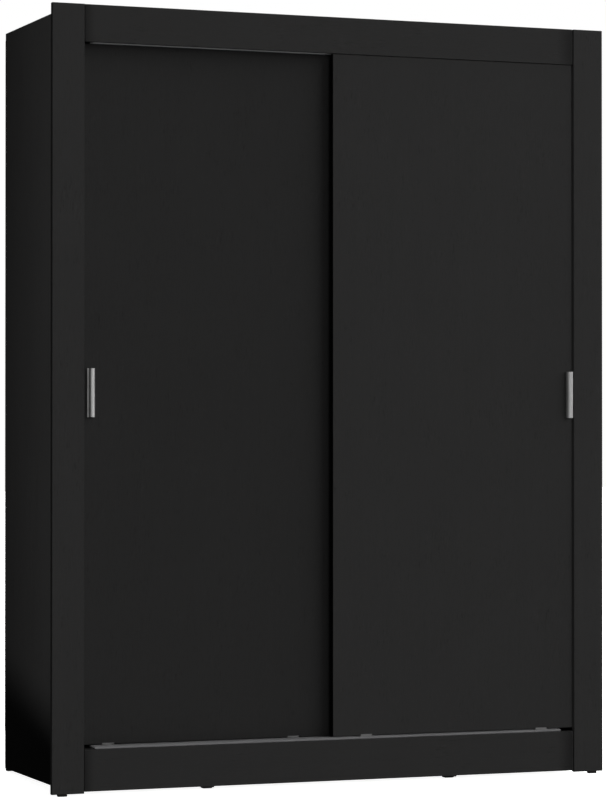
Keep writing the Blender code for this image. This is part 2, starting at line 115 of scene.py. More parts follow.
RAIL_WALL = 1.2 * MM
CUP_PLATE = 3.0 * MM  # thickness of a socket's screwed plate
CUP_PLATE_EDGE = 1.2 * MM
CUP_CHAMFER = 1.2 * MM  # where the collar meets the plate
CUP_COLLAR = 15.8 * MM  # outer radius of the collar round the rail
CUP_COLLAR_EDGE = 0.8 * MM
CUP_BORE = 12.8 * MM
CUP_FLOOR = 3.3 * MM
CUP_SCREW_OFFSET = 18.9 * MM

# The rubber strip between a facing's end and its post.
SPLINE_DEPTH = 5.0 * MM
SPLINE_INSET = 3.0 * MM  # from the facing's front to the crown of the spline
SPLINE_FIT = 0.05 * MM
SPLINE_END = 1.5 * MM  # from the facing's lower and upper edges to the spline's ends

BRACKET_SHEET = 2 * MM
BRACKET_SCREW_ROW = 15 * MM  # back from the bracket's front
BRACKET_SCREW_OFFSET = 11 * MM  # to either side of its middle


# ---------------------------------------------------------------- materials
class Graph:
    """The nodes of one material, in the order in which they are wired."""

    def __init__(self, name):
        self.material = bpy.data.materials.new(name)
        self.material.use_nodes = True
        self.tree = self.material.node_tree
        self.shader = self.tree.nodes["Principled BSDF"]
        self.coords = self.add("ShaderNodeTexCoord").outputs["Object"]

    def add(self, kind, inputs=None, **settings):
        made = self.tree.nodes.new(kind)
        for key, value in settings.items():
            setattr(made, key, value)
        for socket, value in (inputs or {}).items():
            self.set(made.inputs[socket], value)
        return made

    def set(self, socket, value):
        if isinstance(value, bpy.types.NodeSocket):
            self.tree.links.new(value, socket)
        else:
            socket.default_value = value

    def stretched(self, scale):
        return self.add("ShaderNodeMapping", {"Vector": self.coords, "Scale": scale}).outputs["Vector"]

    def noise(self, vector, scale, detail=2.0, rough=0.5, distortion=0.0):
        inputs = {
            "Vector": vector,
            "Scale": scale,
            "Detail": detail,
            "Roughness": rough,
            "Distortion": distortion,
        }
        return self.add("ShaderNodeTexNoise", inputs).outputs["Fac"]

    def span(self, value, low, high, to_low, to_high):
        """Maps a value's range onto another and clamps it."""
        inputs = {"Value": value, "From Min": low, "From Max": high, "To Min": to_low, "To Max": to_high}
        return self.add("ShaderNodeMapRange", inputs).outputs["Result"]

    def math(self, operation, first, second):
        node = self.add("ShaderNodeMath", operation=operation)
        self.set(node.inputs[0], first)
        self.set(node.inputs[1], second)
        return node.outputs["Value"]

    def tinted(self, colour, strength):
        """The colour, brighter or darker by a factor that varies over the surface."""
        node = self.add("ShaderNodeVectorMath", operation="SCALE")
        node.inputs[0].default_value = colour
        self.set(node.inputs["Scale"], strength)
        return node.outputs["Vector"]

    def bump(self, height, distance, strength=1.0, under=None):
        inputs = {"Height": height, "Distance": distance, "Strength": strength}
        if under is not None:
            inputs["Normal"] = under
        return self.add("ShaderNodeBump", inputs).outputs["Normal"]

    def finish(self, **values):
        names = {
            "colour": "Base Color",
            "roughness": "Roughness",
            "metallic": "Metallic",
            "normal": "Normal",
            "specular": "Specular IOR Level",
            "anisotropic": "Anisotropic",
        }
        for key, value in values.items():
            self.set(self.shader.inputs[names[key]], value)
        return self.material


def along(axis, stretch):
    """A mapping scale that draws the pattern out along one axis."""
    scale = [1.0, 1.0, 1.0]
    scale["xyz".index(axis)] = stretch
    return scale


BOARD_BLACK = (0.0190, 0.0188, 0.0186)


def painted_end_shades():
    """For each end of a facing: where in X the painted shade starts and ends, and the tone that is left."""
    low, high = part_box("top_fascia")
    (left, left_tone), (right, right_tone) = PAINTED_END_SHADE
    return (low.x + left, low.x, left_tone), (high.x - right, high.x, right_tone)


def laminate(name, axis, tone=1.0, painted_shades=()):
    """Matt black woodgrain laminate: faint figure, short open pores along the grain and a slight mottle, with
    painted shade towards the ends where asked.
    """
    graph = Graph(name)
    figure = graph.noise(graph.stretched(along(axis, 0.05)), 55.0, 5.0, 0.55, 0.6)
    ticks = graph.noise(graph.stretched(along(axis, 0.16)), 270.0, 2.0, 0.6, 0.2)
    pores = graph.noise(graph.stretched(along(axis, 0.035)), 1100.0, 2.0, 0.5)
    cloud = graph.noise(graph.coords, 4.5, 3.0, 0.6)
    grouped = graph.span(graph.noise(graph.coords, 14.0, 2.0), 0.46, 0.64, 0.10, 1.0)
    pore_mask = graph.span(pores, 0.56, 0.68, 0.0, 1.0)
    dark_ticks = graph.math("MULTIPLY", graph.span(ticks, 0.58, 0.70, 0.0, 0.34), grouped)
    pale_ticks = graph.math("MULTIPLY", graph.span(ticks, 0.40, 0.30, 0.0, 0.22), grouped)
    mottle = graph.span(cloud, 0.3, 0.7, -0.03, 0.03)
    shade = graph.math("ADD", graph.span(figure, 0.25, 0.75, 0.95, 1.05), mottle)
    shade = graph.math("SUBTRACT", shade, graph.math("MULTIPLY", pore_mask, 0.16))
    shade = graph.math("SUBTRACT", shade, dark_ticks)
    shade = graph.math("ADD", shade, pale_ticks)
    # Painted shade: the colour darkens towards the facing's ends, beside the posts.
    if painted_shades:
        place = graph.add("ShaderNodeSeparateXYZ", {"Vector": graph.coords}).outputs["X"]
    for start, stop, left_over in painted_shades:
        shade = graph.math("MULTIPLY", shade, graph.span(place, start, stop, 1.0, left_over))
    colour = graph.tinted([part * tone for part in BOARD_BLACK], shade)
    in_pores = graph.math("MULTIPLY", pore_mask, 0.12)
    roughness = graph.math("ADD", graph.span(figure, 0.2, 0.8, 0.50, 0.57), in_pores)
    pore_depth = graph.math("MULTIPLY", pore_mask, 0.6)
    height = graph.math("SUBTRACT", graph.math("MULTIPLY", figure, 0.5), pore_depth)
    peel = graph.noise(graph.coords, 420.0, 2.0, 0.5)
    normal = graph.bump(height, 0.00006, under=graph.bump(peel, 0.00002))
    return graph.finish(colour=colour, roughness=roughness, normal=normal, specular=0.10)


def edge_band(name, tone):
    """Black edging tape: smoother than the board, with a fine speckle."""
    graph = Graph(name)
    speckle = graph.noise(graph.coords, 900.0, 2.0)
    drift = graph.noise(graph.coords, 11.0, 3.0, 0.6)
    slow = graph.span(drift, 0.3, 0.7, -0.05, 0.05)
    shade = graph.math("ADD", graph.span(speckle, 0.3, 0.7, 0.92, 1.04), slow)
    colour = graph.tinted([part * tone for part in BOARD_BLACK], shade)
    roughness = graph.span(drift, 0.3, 0.7, 0.40, 0.52)
    normal = graph.bump(speckle, 0.00002)
    return graph.finish(colour=colour, roughness=roughness, normal=normal, specular=0.10)


def hardboard(name, colour, contrast):
    """Pressed fibre: short fibres lying every way over a soft mottle."""
    graph = Graph(name)
    one_way = graph.noise(graph.stretched(along("x", 0.12)), 750.0, 3.0, 0.6)
    other_way = graph.noise(graph.stretched(along("z", 0.12)), 750.0, 3.0, 0.6)
    cloud = graph.noise(graph.coords, 9.0, 4.0, 0.6)
    fibres = graph.math("MULTIPLY", graph.math("ADD", one_way, other_way), 0.5)
    strands = graph.span(fibres, 0.35, 0.65, 1.0 - contrast, 1.0 + contrast)
    shade = graph.math("ADD", strands, graph.span(cloud, 0.3, 0.7, -0.08, 0.08))
    normal = graph.bump(fibres, 0.00008)
    roughness = graph.span(fibres, 0.3, 0.7, 0.62, 0.82)
    return graph.finish(colour=graph.tinted(colour, shade), roughness=roughness, normal=normal, specular=0.3)


def metal(name, colour, axis, roughness, streak, anisotropic=0.0, metallic=1.0):
    """Drawn, brushed or rolled metal, with its lines along one axis and a little tarnish."""
    graph = Graph(name)
    lines = graph.noise(graph.stretched(along(axis, 0.012)), 2600.0, 3.0, 0.6)
    wide = graph.noise(graph.stretched(along(axis, 0.03)), 420.0, 2.0, 0.5)
    tarnish = graph.noise(graph.coords, 38.0, 4.0, 0.65)
    stain = graph.span(tarnish, 0.35, 0.7, 0.0, -0.07)
    shade = graph.math("ADD", graph.span(lines, 0.3, 0.7, 1.0 - streak, 1.0), stain)
    dull = graph.span(tarnish, 0.5, 0.75, 0.0, 0.08)
    brushed = graph.span(wide, 0.3, 0.7, roughness - 0.05, roughness + 0.07)
    return graph.finish(
        colour=graph.tinted(colour, shade),
        roughness=graph.math("ADD", brushed, dull),
        metallic=metallic,
        normal=graph.bump(lines, 0.00002),
        anisotropic=anisotropic,
    )


def plated(name, colour):
    """Bright zinc: a fine spangle with soft stains."""
    graph = Graph(name)
    spangle = graph.add("ShaderNodeTexVoronoi", {"Vector": graph.coords, "Scale": 900.0}).outputs["Color"]
    grey = graph.add("ShaderNodeSeparateXYZ", {"Vector": spangle}).outputs["X"]
    stain = graph.noise(graph.coords, 60.0, 4.0, 0.6)
    shade = graph.math("ADD", graph.span(grey, 0.0, 1.0, 0.90, 1.0), graph.span(stain, 0.3, 0.7, 0.03, -0.10))
    roughness = graph.span(stain, 0.3, 0.7, 0.26, 0.44)
    normal = graph.bump(graph.noise(graph.coords, 1500.0, 2.0), 0.00001)
    return graph.finish(colour=graph.tinted(colour, shade), roughness=roughness, metallic=1.0, normal=normal)


def plastic(name, colour, roughness, grain):
    """Moulded plastic with an eroded texture."""
    graph = Graph(name)
    skin = graph.noise(graph.coords, grain, 3.0, 0.6)
    drift = graph.noise(graph.coords, 30.0, 3.0, 0.6)
    slow = graph.span(drift, 0.3, 0.7, -0.05, 0.05)
    shade = graph.math("ADD", graph.span(skin, 0.3, 0.7, 0.95, 1.05), slow)
    rough = graph.span(drift, 0.3, 0.7, roughness - 0.05, roughness + 0.06)
    normal = graph.bump(skin, 0.00004)
    return graph.finish(colour=graph.tinted(colour, shade), roughness=rough, normal=normal, specular=0.12)


def make_finishes():
    return {
        "upright": laminate("laminate_upright", "z"),
        "across": laminate("laminate_across", "x"),
        # The facings' laminate carries painted shade towards its ends, beside the posts.
        "facing": laminate("laminate_facing_painted_shade", "x", painted_shades=painted_end_shades()),
        "inward": laminate("laminate_inward", "y"),
        # The rear door's laminate is a darker copy of the same laminate: painted shade for its place behind
        # the front door.
        "rear_door": laminate("laminate_rear_door_painted_shade", "z", 0.74),
        "band": edge_band("edge_band", 1.0),
        # Darker copies of the same edging tape: painted shade on the posts' edges, deepest on the left post,
        # and near-black painted shade on the doors' edges.
        "left_post_shaded_band": edge_band("left_post_edge_band_painted_shade", 0.40),
        "right_post_shaded_band": edge_band("right_post_edge_band_painted_shade", 0.80),
        "door_shaded_band": edge_band("door_edge_band_painted_shade", 0.15),
        "hardboard_out": hardboard("hardboard_raw", (0.105, 0.062, 0.034), 0.16),
        "hardboard_in": hardboard("hardboard_black", (0.024, 0.0225, 0.021), 0.08),
        "aluminium": metal("track_aluminium", (0.19, 0.19, 0.194), "x", 0.42, 0.12),
        "satin_aluminium": metal("track_satin_aluminium", (0.80, 0.80, 0.81), "x", 0.50, 0.12, metallic=0.0),
        "pull": metal("pull_brushed", (0.35, 0.35, 0.348), "z", 0.52, 0.16, 0.3),
        "chrome": metal("rail_chrome", (0.78, 0.78, 0.79), "x", 0.10, 0.03),
        "zinc": plated("zinc_plate", (0.56, 0.56, 0.55)),
        "dull_zinc": plated("roller_housing_zinc", (0.20, 0.20, 0.20)),
        "nylon": plastic("roller_nylon", (0.52, 0.52, 0.50), 0.42, 700.0),
        "black_plastic": plastic("black_plastic", (0.005, 0.005, 0.005), 0.48, 900.0),
        "rubber": plastic("bumper_rubber", (0.018, 0.018, 0.018), 0.80, 1400.0),
    }


FINISH = make_finishes()


# ---------------------------------------------------------------- mesh tools
SHARP = 32.0  # degrees between faces from which an edge is drawn sharp


def piece(name, mesh, finishes, body):
    obj = bpy.data.objects.new(name, mesh)
    bpy.context.scene.collection.objects.link(obj)
    for key in finishes:
        mesh.materials.append(FINISH[key])
    mesh.shade_smooth()
    mesh.set_sharp_from_angle(angle=radians(SHARP))
    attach(obj, body)
    return obj


def stand_for(obj, *nodes):
    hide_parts(*nodes)
    return obj


def weighted(obj):
    modifier = obj.modifiers.new("flat_faces", "WEIGHTED_NORMAL")
    modifier.keep_sharp = True
    modifier.weight = 100
    return obj


def round_edges(shape, edges, radius, segments=2):
    bmesh.ops.bevel(
        shape,
        geom=edges,
        offset=radius,
        segments=segments,
        profile=0.5,
        affect="EDGES",
        clamp_overlap=True,
    )


def mesh_from(shape, name):
    bmesh.ops.recalc_face_normals(shape, faces=shape.faces)
    mesh = bpy.data.meshes.new(name)
    shape.to_mesh(mesh)
    shape.free()
    return mesh


def baked(obj):
    """The object's mesh with its modifiers applied."""
    bpy.context.view_layer.update()
    graph = bpy.context.evaluated_depsgraph_get()
    mesh = bpy.data.meshes.new_from_object(obj.evaluated_get(graph))
    old = obj.data
    obj.modifiers.clear()
    obj.data = mesh
    bpy.data.meshes.remove(old)
    return obj


# ---------------------------------------------------------------- boards
def half_section(half_thickness):
    """(inset, height) rows for half of a board's edge, from the middle of the tape out to the face."""
    rows = [(0.0, 0.0)]
    steps = 4
    for step in range(steps + 1):
        turn = step / steps * pi / 2
        rows.append((ROUNDING * (1 - cos(turn)), half_thickness - ROUNDING * (1 - sin(turn))))
    rows.append((BAND - GLUE_LINE, half_thickness))
    rows.append((BAND, half_thickness - GLUE_LINE))
    rows.append((BAND + GLUE_LINE, half_thickness))
    return rows


def outline_ring(shape, half_u, half_v, inset, height, place):
    radius = max(CORNER - inset, 0.02 * MM)
    verts = []
    steps = 3
    for quarter, (sign_u, sign_v) in enumerate(((1, 1), (-1, 1), (-1, -1), (1, -1))):
        centre_u = sign_u * (half_u - inset - radius)
        centre_v = sign_v * (half_v - inset - radius)
        for step in range(steps + 1):
            turn = (quarter + step / steps) * pi / 2
            point = (centre_u + radius * cos(turn), centre_v + radius * sin(turn), height)
            verts.append(shape.verts.new(place @ Vector(point)))
    return verts


def bridge(shape, lower, upper, index):
    count = len(lower)
    for i in range(count):
        j = (i + 1) % count
        face = shape.faces.new((lower[i], lower[j], upper[j], upper[i]))
        face.material_index = index


def board_mesh(name, low, high):
    """A board with edging tape all round. Material 0 is its faces and material 1 its tape."""
    size = high - low
    thin = min(range(3), key=lambda axis: size[axis])
    u_axis, v_axis = (thin + 1) % 3, (thin + 2) % 3
    turn = Matrix.Identity(3)
    for column, axis in enumerate((u_axis, v_axis, thin)):
        for row in range(3):
            turn[row][column] = 1.0 if row == axis else 0.0
    place = Matrix.Translation((low + high) / 2) @ turn.to_4x4()
    half = half_section(size[thin] / 2)
    rows = [(inset, -height) for inset, height in reversed(half)] + half[1:]
    shape = bmesh.new()
    rings = [outline_ring(shape, size[u_axis] / 2, size[v_axis] / 2, *row, place) for row in rows]
    for index, (lower, upper) in enumerate(zip(rings, rings[1:])):
        on_face = index in (0, len(rings) - 2)
        bridge(shape, lower, upper, 0 if on_face else 1)
    shape.faces.new(list(reversed(rings[0])))
    shape.faces.new(rings[-1])
    return mesh_from(shape, name)


def make_board(node, grain, band="band"):
    mesh = board_mesh(f"{node}_board", *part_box(node))
    obj = piece(f"{node}_board", mesh, (grain, band), BODY_OF[node])
    return weighted(stand_for(obj, node))


UPRIGHT = ("left_side_panel", "right_side_panel", "centre_divider")
FACINGS = ("top_fascia", "front_plinth")
ACROSS = ("rear_plinth", "track_carrier", "top_panel", "bottom_panel")
SHELVES = (
    "left_hat_shelf",
    "left_shoe_shelf",
    "right_hat_shelf",
    "right_upper_shelf",
    "right_middle_shelf",
    "right_lower_shelf",
)


def make_boards():
    for side in SIDES:
        # Each post's edging is a darker copy of the tape: painted shade.
        make_board(f"{side}_front_post", "upright", f"{side}_post_shaded_band")
    for node in UPRIGHT:
        make_board(node, "upright")
    for node in FACINGS:
        make_board(node, "facing")
    for node in ACROSS + SHELVES:
        make_board(node, "across")
    for side in SIDES:
        make_board(f"{side}_base_bearer", "inward")


def cut_away(obj, shape):
    """Takes a closed bmesh out of an object's mesh."""
    cutter = bpy.data.objects.new("cutter", mesh_from(shape, "cutter"))
    bpy.context.scene.collection.objects.link(cutter)
    modifier = obj.modifiers.new("cut", "BOOLEAN")
    modifier.operation = "DIFFERENCE"
    modifier.object = cutter
    baked(obj)
    obj.data.set_sharp_from_angle(angle=radians(SHARP))
    bpy.data.objects.remove(cutter)


def cut_pocket(obj, low, high):
    """Takes a box out of an object's mesh."""
    shape = bmesh.new()
    bmesh.ops.create_cube(shape, size=1.0)
    bmesh.ops.scale(shape, vec=high - low, verts=shape.verts)
    bmesh.ops.translate(shape, vec=(low + high) / 2, verts=shape.verts)
    cut_away(obj, shape)


def make_door_panel(side, finish):
    node = f"{side}_door_panel"
    # The doors' edging is a near-black copy of the tape: painted shade.
    obj = make_board(node, finish, "door_shaded_band")
    obj.modifiers.clear()
    low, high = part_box(node)
    clear = Vector((1, 1, 1)) * SEAT_CLEARANCE
    for end in ("outer", "inner"):
        seat_low, seat_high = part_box(f"{side}_door_{end}_housing")
        under = low.z - CUT_OVERRUN
        over = high.z + CUT_OVERRUN
        cut_pocket(obj, Vector((seat_low.x, seat_low.y, under)) - clear, seat_high + clear)
        side_clear = Vector((NOTCH_CLEARANCE, CUT_OVERRUN, 0))
        notch_low = Vector((seat_low.x, low.y, under)) - side_clear
        cut_pocket(obj, notch_low, Vector((seat_high.x, high.y, low.z + NOTCH_HEIGHT)) + side_clear)
        seat_low, seat_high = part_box(f"{side}_door_{end}_guide")
        cut_pocket(obj, seat_low - clear, Vector((seat_high.x, seat_high.y, over)) + clear)
    return weighted(obj)


# ---------------------------------------------------------------- pieces carried over from the frame
def refined(node, finish, rounding):
    """A frame piece's own shape, with its flats made whole and its edges rounded."""
    source = frame["nodes"][node].data
    shape = bmesh.new()
    shape.from_mesh(source)
    bmesh.ops.remove_doubles(shape, verts=shape.verts, dist=0.01 * MM)
    bmesh.ops.dissolve_limit(shape, angle_limit=radians(1), verts=shape.verts, edges=shape.edges)
    sharp = [edge for edge in shape.edges if edge.calc_face_angle(0.0) > radians(28)]
    if rounding:
        round_edges(shape, sharp, rounding)
    verts = [vert.co.copy() for vert in shape.verts]
    shape.verts.index_update()
    faces = [[vert.index for vert in face.verts] for face in shape.faces]
    shape.free()
    label = f"{node}_piece"
    mesh = bpy.data.meshes.new(label)
    mesh.from_pydata(verts, [], faces)
    obj = piece(label, mesh, (finish,), BODY_OF[node])
    return weighted(stand_for(obj, node))


ALONG_X = (0, pi / 2, 0)
ALONG_Y = (pi / 2, 0, 0)


def turned(name, profile, place, turn, finish, body, steps=64, closed=True):
    """A (radius, height) profile turned about its own Z."""
    shape = bmesh.new()
    edges = []
    verts = [shape.verts.new((radius, 0, height)) for radius, height in profile]
    pairs = list(zip(verts, verts[1:]))
    if closed:
        pairs.append((verts[-1], verts[0]))
    for first, second in pairs:
        edges.append(shape.edges.new((first, second)))
    bmesh.ops.spin(
        shape,
        geom=verts + edges,
        axis=(0, 0, 1),
        cent=(0, 0, 0),
        dvec=(0, 0, 0),
        angle=2 * pi,
        steps=steps,
        use_merge=True,
    )
    bmesh.ops.remove_doubles(shape, verts=shape.verts, dist=0.005 * MM)
    matrix = Matrix.Translation(place) @ Euler(turn).to_matrix().to_4x4()
    bmesh.ops.transform(shape, matrix=matrix, verts=shape.verts)
    return piece(name, mesh_from(shape, name), (finish,), body)


def centre_of(node):
    low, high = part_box(node)
    return (low + high) / 2


def fillet(centre_u, centre_v, radius, start, stop, steps=4):
    """Points on an arc, in degrees from +U towards +V."""
    for step in range(steps + 1):
        turn = radians(start + (stop - start) * step / steps)
        yield centre_u + radius * cos(turn), centre_v + radius * sin(turn)


# ---------------------------------------------------------------- doors' metalwork
def shell_arc(width, projection, inset=0.0):
    """Points over the shell, from its rolled lip to its foot on the door, a depth inside its outer face."""
    crest = PULL_FLANGE + PULL_LIP_RADIUS * sin(PULL_LIP_TURN)
    lip = PULL_LIP_RADIUS - inset
    rise = projection - inset
    half_width = width - crest - inset
    lip_steps, steps = 8, 20
    for step in range(lip_steps):
        turn = (step / lip_steps - 1) * PULL_LIP_TURN
        yield crest + lip * sin(turn), rise - lip * (1 - cos(turn))
    for step in range(steps + 1):
        turn = step / steps * acos(inset / rise)
        yield crest + half_width * sin(turn), rise * cos(turn)


def prism(outline, low, high, place):
    """A closed prism from a flat outline. place turns (u, v, height) into a point of the frame."""
    shape = bmesh.new()
    ends = [[shape.verts.new(place(u, v, level)) for u, v in outline] for level in (low, high)]
    bridge(shape, ends[0], ends[1], 0)
    caps = [shape.faces.new(ring) for ring in ends]
    bmesh.ops.recalc_face_normals(shape, faces=shape.faces)
    return shape, caps


def make_pull(side):
    """A pressed shell with rounded, closed ends and a mouth towards the door's outer edge."""
    node = f"{side}_door_pull"
    low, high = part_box(node)
    sign = SIDES[side]
    start = low.x if side == "left" else high.x
    size = (high.x - low.x, high.y - low.y)

    def place(u, v, level):
        return start - sign * u, high.y - v, level

    corner = 0.5 * MM
    outline = [(0.0, 0.0)]
    outline += fillet(corner, PULL_SHEET - corner, corner, 180, 90, 3)
    outline += [(PULL_FLANGE, PULL_SHEET)]
    outline += shell_arc(*size)
    shape, caps = prism(outline, low.z, high.z, place)
    foot = high.y - 0.05 * MM
    rims = [edge for cap in caps for edge in cap.edges if min(vert.co.y for vert in edge.verts) < foot]
    round_edges(shape, rims, PULL_ROUNDING, 4)
    label = f"{side}_pull_shell"
    obj = piece(label, mesh_from(shape, label), ("pull",), BODY_OF[node])
    roof = list(shell_arc(*size, PULL_SHEET))
    mouth = PULL_FLANGE - CUT_OVERRUN
    hollow = [(mouth, PULL_SHEET), (mouth, roof[0][1])] + roof
    cavity, _ = prism(hollow, low.z + PULL_END, high.z - PULL_END, place)
    cut_away(obj, cavity)
    return weighted(stand_for(obj, node))


def make_wheel(side, end):
    node = f"{side}_door_{end}_wheel"
    low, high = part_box(node)
    half = (high.y - low.y) / 2
    radius = (high.z - low.z) / 2
    tread = 11.05 * MM
    bore = 2.3 * MM
    groove = 1.6 * MM
    profile = [
        (bore, half),
        (4.2 * MM, half),
        (4.6 * MM, half - 0.9 * MM),
        (9.0 * MM, half - 0.9 * MM),
        (9.4 * MM, half),
        (radius - 0.5 * MM, half),
        (radius - 0.1 * MM, half - 0.2 * MM),
        (radius, half - 0.6 * MM),
        (radius, groove + 0.5 * MM),
        (tread + 0.3 * MM, groove),
        (tread, groove - 0.3 * MM),
    ]
    profile += [(r, -h) for r, h in reversed(profile)]
    place = (low + high) / 2
    label = f"{side}_{end}_wheel_tyre"
    obj = turned(label, profile, place, ALONG_Y, "nylon", BODY_OF[node])
    return stand_for(obj, node)


def make_axle(side, end):
    node = f"{side}_door_{end}_axle"
    low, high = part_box(node)
    half = (high.y - low.y) / 2
    radius = (high.z - low.z) / 2
    profile = [
        (0.0, half),
        (radius * 0.55, half - 0.05 * MM),
        (radius * 0.9, half - 0.3 * MM),
        (radius, half - 0.7 * MM),
    ]
    profile += [(r, -h) for r, h in reversed(profile)]
    place = (low + high) / 2
    label = f"{side}_{end}_axle_pin"
    obj = turned(label, profile, place, ALONG_Y, "zinc", BODY_OF[node], 32, False)
    return stand_for(obj, node)


def make_doors():
    # The rear door takes the darker copy of the laminate, which is painted shade.
    for side, finish in (("left", "rear_door"), ("right", "upright")):
        make_door_panel(side, finish)
        make_pull(side)
        for end in ("outer", "inner"):
            refined(f"{side}_door_{end}_housing", "dull_zinc", 0.25 * MM)
            refined(f"{side}_door_{end}_guide", "nylon", 0.35 * MM)
            make_wheel(side, end)
            make_axle(side, end)


# ---------------------------------------------------------------- screws, nails and pins
def head_mesh(radius, rise, cross):
    """A domed head with a cross recess, its flat on Z = 0."""
    steps = 28
    shape = bmesh.new()
    rows = [(radius, 0.0), (radius, 0.25 * rise), (0.93 * radius, 0.55 * rise), (0.7 * radius, 0.85 * rise)]
    rings = []
    for ring_radius, height in rows:
        ring = []
        for step in range(steps):
            turn = 2 * pi * step / steps
            ring.append(shape.verts.new((ring_radius * cos(turn), ring_radius * sin(turn), height)))
        rings.append(ring)
    for lower, upper in zip(rings, rings[1:]):
        bridge(shape, lower, upper, 0)
    shape.faces.new(list(reversed(rings[0])))
    if not cross:
        tip = shape.verts.new((0, 0, rise))
        for i in range(steps):
            shape.faces.new((rings[-1][i], rings[-1][(i + 1) % steps], tip))
        return mesh_from(shape, "nail_head")
    arm, waist, depth = 0.52 * radius, 0.13 * radius, 0.55 * rise
    star = []
    for quarter in range(4):
        turn = Matrix.Rotation(quarter * pi / 2, 3, "Z")
        for point in ((arm, -waist, 0), (arm, waist, 0), (waist, waist, 0)):
            star.append(turn @ Vector(point))
    mouth = [shape.verts.new((p.x, p.y, 0.9 * rise)) for p in star]
    floor = [shape.verts.new((0.75 * p.x, 0.75 * p.y, 0.9 * rise - depth)) for p in star]
    bridge(shape, mouth, floor, 0)
    shape.faces.new(floor)
    rim_edges = [edge for edge in shape.edges if len(edge.link_faces) == 1]
    bmesh.ops.triangle_fill(shape, edges=rim_edges, use_beauty=True, use_dissolve=False)
    return mesh_from(shape, "screw_head")


HEADS = {"screw": head_mesh(1.0, 0.42, True), "nail": head_mesh(1.0, 0.35, False)}


def heads(name, kind, radius, places, normal):
    """One piece that holds a row of the same head on the carcass, each at its own place."""
    shape = bmesh.new()
    face_out = Vector((0, 0, 1)).rotation_difference(Vector(normal)).to_matrix().to_4x4()
    for index, place in enumerate(places):
        spin = Matrix.Rotation(index * 1.1, 4, "Z")
        matrix = Matrix.Translation(place) @ face_out @ spin @ Matrix.Scale(radius, 4)
        start = len(shape.verts)
        shape.from_mesh(HEADS[kind])
        shape.verts.ensure_lookup_table()
        bmesh.ops.transform(shape, matrix=matrix, verts=shape.verts[start:])
    return piece(name, mesh_from(shape, name), ("zinc",), "carcass")


def spread(start, stop, count):
    return [start + (stop - start) * i / (count - 1) for i in range(count)]


def make_track_screws():
    low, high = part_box("bottom_track")
    across = spread(low.x + TRACK_SCREW_END, high.x - TRACK_SCREW_END, TRACK_SCREWS)
    places = [Vector((x, low.y + row, low.z + TRACK_BASE)) for x in across for row in TRACK_SCREW_ROWS]
    heads("bottom_track_screws", "screw", 2.6 * MM, places, (0, 0, 1))


def make_back():
    """Hardboard sheets, black inside and raw outside, nailed round their edges."""
    for side, sign in SIDES.items():
        node = f"{side}_back_panel"
        low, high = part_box(node)
        shape = bmesh.new()
        bmesh.ops.create_cube(shape, size=1.0)
        bmesh.ops.scale(shape, vec=high - low, verts=shape.verts)
        bmesh.ops.translate(shape, vec=(low + high) / 2, verts=shape.verts)
        shape.normal_update()
        for face in shape.faces:
            face.material_index = 1 if face.normal.y < -0.5 else 0
        round_edges(shape, list(shape.edges), 0.3 * MM)
        mesh = mesh_from(shape, f"{side}_back_sheet")
        faces = ("hardboard_out", "hardboard_in")
        obj = piece(f"{side}_back_sheet", mesh, faces, BODY_OF[node])
        weighted(stand_for(obj, node))
        outer = high.x if sign > 0 else low.x
        inner = low.x if sign > 0 else high.x
        rise = high.y - NAIL_SINK
        places = []
        for edge, way, (inset, end, count) in ((outer, -sign, OUTER_ROW), (inner, sign, JOINT_ROW)):
            heights = spread(low.z + end, high.z - end, count)
            places += [Vector((edge + way * inset, rise, z)) for z in heights]
        for x in spread(outer - sign * LEVEL_END, inner + sign * LEVEL_END, LEVEL_NAILS):
            places += [Vector((x, rise, z)) for z in (low.z + LOWER_ROW, high.z - UPPER_ROW)]
        heads(f"{side}_back_nails", "nail", NAIL_RADIUS, places, (0, 1, 0))


def make_shelf_pins():
    """Steel pins under each shelf's corners, in the uprights on either side."""
    for node in SHELVES:
        low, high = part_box(node)
        for wall, x, way in (("low", low.x - 0.3 * MM, 1), ("high", high.x + 0.3 * MM, -1)):
            for row, y in (("front", low.y + PIN_INSET), ("rear", high.y - PIN_INSET)):
                label = f"{node}_pin_{wall}_{row}"
                place = Vector((x, y, low.z - PIN_DROP))
                turn = (0, way * pi / 2, 0)
                turned(label, PIN_PROFILE, place, turn, "zinc", "carcass", 24, False)


# ---------------------------------------------------------------- hanging rail
def make_rail():
    low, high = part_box("hanging_rail")
    radius = (high.z - low.z) / 2
    half = (high.x - low.x) / 2
    bore = radius - RAIL_WALL
    profile = [(radius, -half), (radius, half), (bore, half), (bore, -half)]
    place = (low + high) / 2
    obj = turned("hanging_rail_tube", profile, place, ALONG_X, "chrome", "carcass", 96)
    stand_for(obj, "hanging_rail")
    for end, way in (("outer", 1), ("inner", -1)):
        node = f"rail_{end}_socket"
        low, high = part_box(node)
        face_x = low.x if way > 0 else high.x
        plate = (high.z - low.z) / 2
        tall = high.x - low.x
        profile = [(0.0, 0.0), (plate - 0.5 * MM, 0.0)]
        profile += fillet(plate - CUP_PLATE_EDGE, CUP_PLATE - CUP_PLATE_EDGE, CUP_PLATE_EDGE, 0, 90)
        profile += [(CUP_COLLAR + CUP_CHAMFER, CUP_PLATE), (CUP_COLLAR, CUP_PLATE + CUP_CHAMFER)]
        profile += fillet(CUP_COLLAR - CUP_COLLAR_EDGE, tall - CUP_COLLAR_EDGE, CUP_COLLAR_EDGE, 0, 90)
        profile += [(CUP_BORE, tall - 0.2 * MM), (CUP_BORE, CUP_FLOOR), (0.0, CUP_FLOOR)]
        place = Vector((face_x, centre_of(node).y, centre_of(node).z))
        turn = (0, way * pi / 2, 0)
        label = f"rail_{end}_cup"
        obj = turned(label, profile, place, turn, "black_plastic", "carcass", 72, False)
        stand_for(obj, node)
        places = [place + Vector((way * CUP_PLATE, sign * CUP_SCREW_OFFSET, 0)) for sign in (-1, 1)]
        heads(f"rail_{end}_screws", "screw", 2.4 * MM, places, (way, 0, 0))


